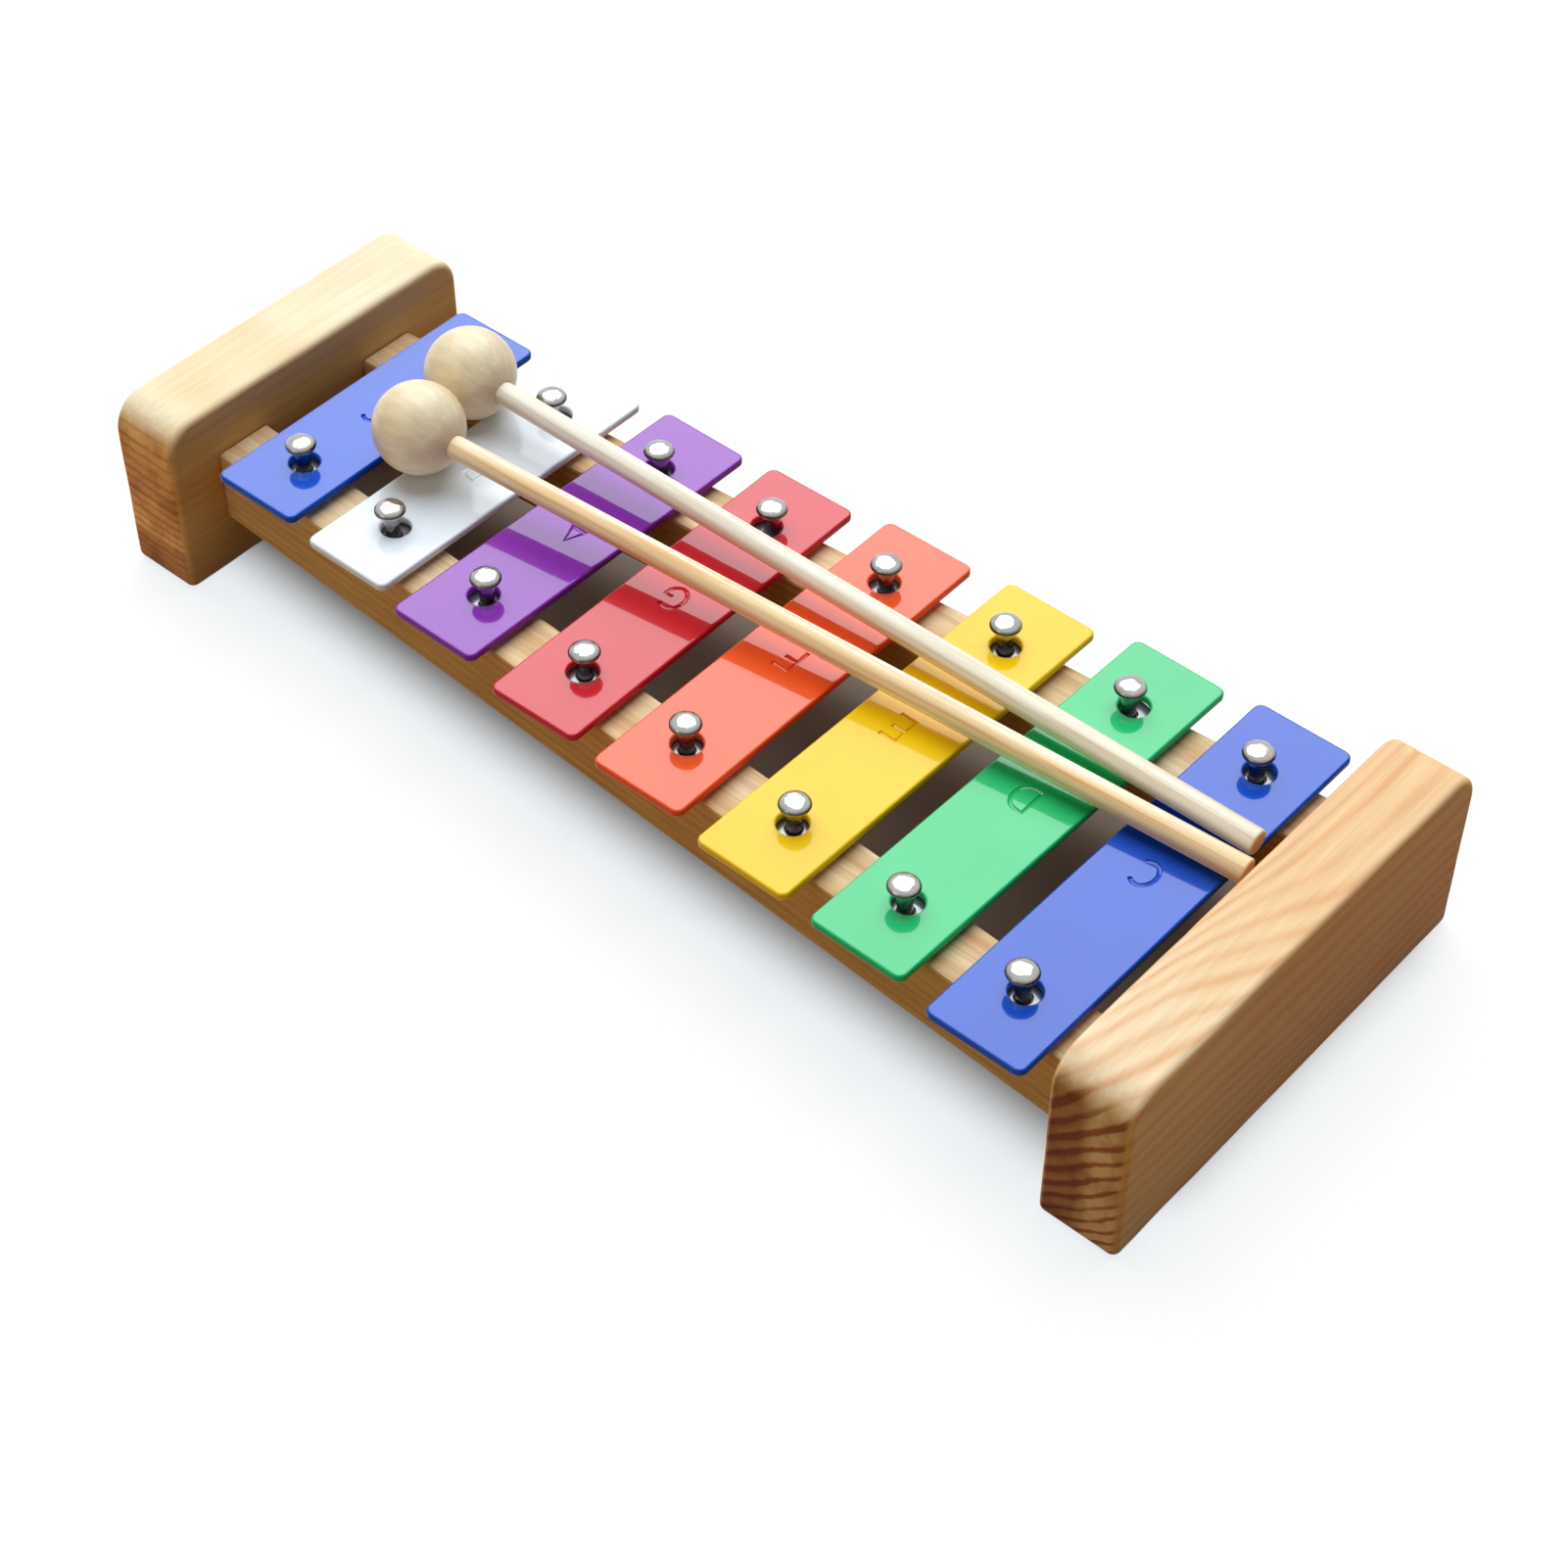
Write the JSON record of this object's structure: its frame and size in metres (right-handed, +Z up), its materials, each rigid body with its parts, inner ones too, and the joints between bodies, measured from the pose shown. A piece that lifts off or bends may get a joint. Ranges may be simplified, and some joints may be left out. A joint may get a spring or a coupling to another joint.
{
  "type": "toy xylophone",
  "caption": "Toy xylophone: flat coloured metal bars held on two converging pine rails by domed nails, between two pine end blocks, with two loose wooden bead mallets.",
  "frame": {"origin": "middle of the footprint, on the table under the end blocks", "axes": "+X along the row from the low notes to the high ones, +Y along the bars away from the player, +Z up"},
  "size_m": [0.2836, 0.1124, 0.0562],
  "materials": {
    "pine": "clear satin lacquer",
    "rail_pine": "clear satin lacquer",
    "beech": "bare",
    "blue": "gloss enamel",
    "green": "gloss enamel",
    "yellow": "gloss enamel",
    "orange": "gloss enamel",
    "red": "gloss enamel",
    "purple": "gloss enamel",
    "white": "gloss enamel",
    "chrome": "polished",
    "washer_plastic": "smooth, greyish white",
    "ball_wood": "clear lacquer",
    "stick_wood": "smooth, bare"
  },
  "bodies": {
    "frame": {"end_block_low": "pine", "end_block_high": "pine", "rail_front": "rail_pine", "rail_back": "rail_pine", "dowel_low_front": "beech", "dowel_low_back": "beech", "dowel_high_front": "beech", "dowel_high_back": "beech", "nail_c_low_front": "chrome", "nail_c_low_back": "chrome", "nail_d_front": "chrome", "nail_d_back": "chrome", "nail_e_front": "chrome", "nail_e_back": "chrome", "nail_f_front": "chrome", "nail_f_back": "chrome", "nail_g_front": "chrome", "nail_g_back": "chrome", "nail_a_front": "chrome", "nail_a_back": "chrome", "nail_b_front": "chrome", "nail_b_back": "chrome", "nail_c_high_front": "chrome", "nail_c_high_back": "chrome", "washer_c_low_front": "washer_plastic", "washer_c_low_back": "washer_plastic", "washer_d_front": "washer_plastic", "washer_d_back": "washer_plastic", "washer_e_front": "washer_plastic", "washer_e_back": "washer_plastic", "washer_f_front": "washer_plastic", "washer_f_back": "washer_plastic", "washer_g_front": "washer_plastic", "washer_g_back": "washer_plastic", "washer_a_front": "washer_plastic", "washer_a_back": "washer_plastic", "washer_b_front": "washer_plastic", "washer_b_back": "washer_plastic", "washer_c_high_front": "washer_plastic", "washer_c_high_back": "washer_plastic"},
    "loose_bar_c_low": {"bar_c_low": "blue"},
    "loose_bar_d": {"bar_d": "green"},
    "loose_bar_e": {"bar_e": "yellow"},
    "loose_bar_f": {"bar_f": "orange"},
    "loose_bar_g": {"bar_g": "red"},
    "loose_bar_a": {"bar_a": "purple"},
    "loose_bar_b": {"bar_b": "white"},
    "loose_bar_c_high": {"bar_c_high": "blue"},
    "front_mallet": {"mallet_ball_front": "ball_wood", "mallet_stick_front": "stick_wood"},
    "back_mallet": {"mallet_ball_back": "ball_wood", "mallet_stick_back": "stick_wood"}
  },
  "joints": [
    {"name": "shift_c_low", "type": "slide", "parent": "frame", "child": "loose_bar_c_low", "axis": [0, 1, 0], "range_m": [-0.0012, 0.0012]},
    {"name": "shift_d", "type": "slide", "parent": "frame", "child": "loose_bar_d", "axis": [0, 1, 0], "range_m": [-0.00048, 0.00192]},
    {"name": "shift_e", "type": "slide", "parent": "frame", "child": "loose_bar_e", "axis": [0, 1, 0], "range_m": [-0.00176, 0.00064]},
    {"name": "shift_f", "type": "slide", "parent": "frame", "child": "loose_bar_f", "axis": [0, 1, 0], "range_m": [-0.00128, 0.00112]},
    {"name": "shift_g", "type": "slide", "parent": "frame", "child": "loose_bar_g", "axis": [0, 1, 0], "range_m": [-0.00216, 0.00024]},
    {"name": "shift_a", "type": "slide", "parent": "frame", "child": "loose_bar_a", "axis": [0, 1, 0], "range_m": [-0.00136, 0.00104]},
    {"name": "shift_b", "type": "slide", "parent": "frame", "child": "loose_bar_b", "axis": [0, 1, 0], "range_m": [-0.00072, 0.00168]},
    {"name": "shift_c_high", "type": "slide", "parent": "frame", "child": "loose_bar_c_high", "axis": [0, 1, 0], "range_m": [-0.00112, 0.00128]},
    {"name": "lift_front_mallet", "type": "slide", "parent": "frame", "child": "front_mallet", "axis": [0, 0, 1], "range_m": [0, 0.06]},
    {"name": "lift_back_mallet", "type": "slide", "parent": "frame", "child": "back_mallet", "axis": [0, 0, 1], "range_m": [0, 0.06]}
  ]
}
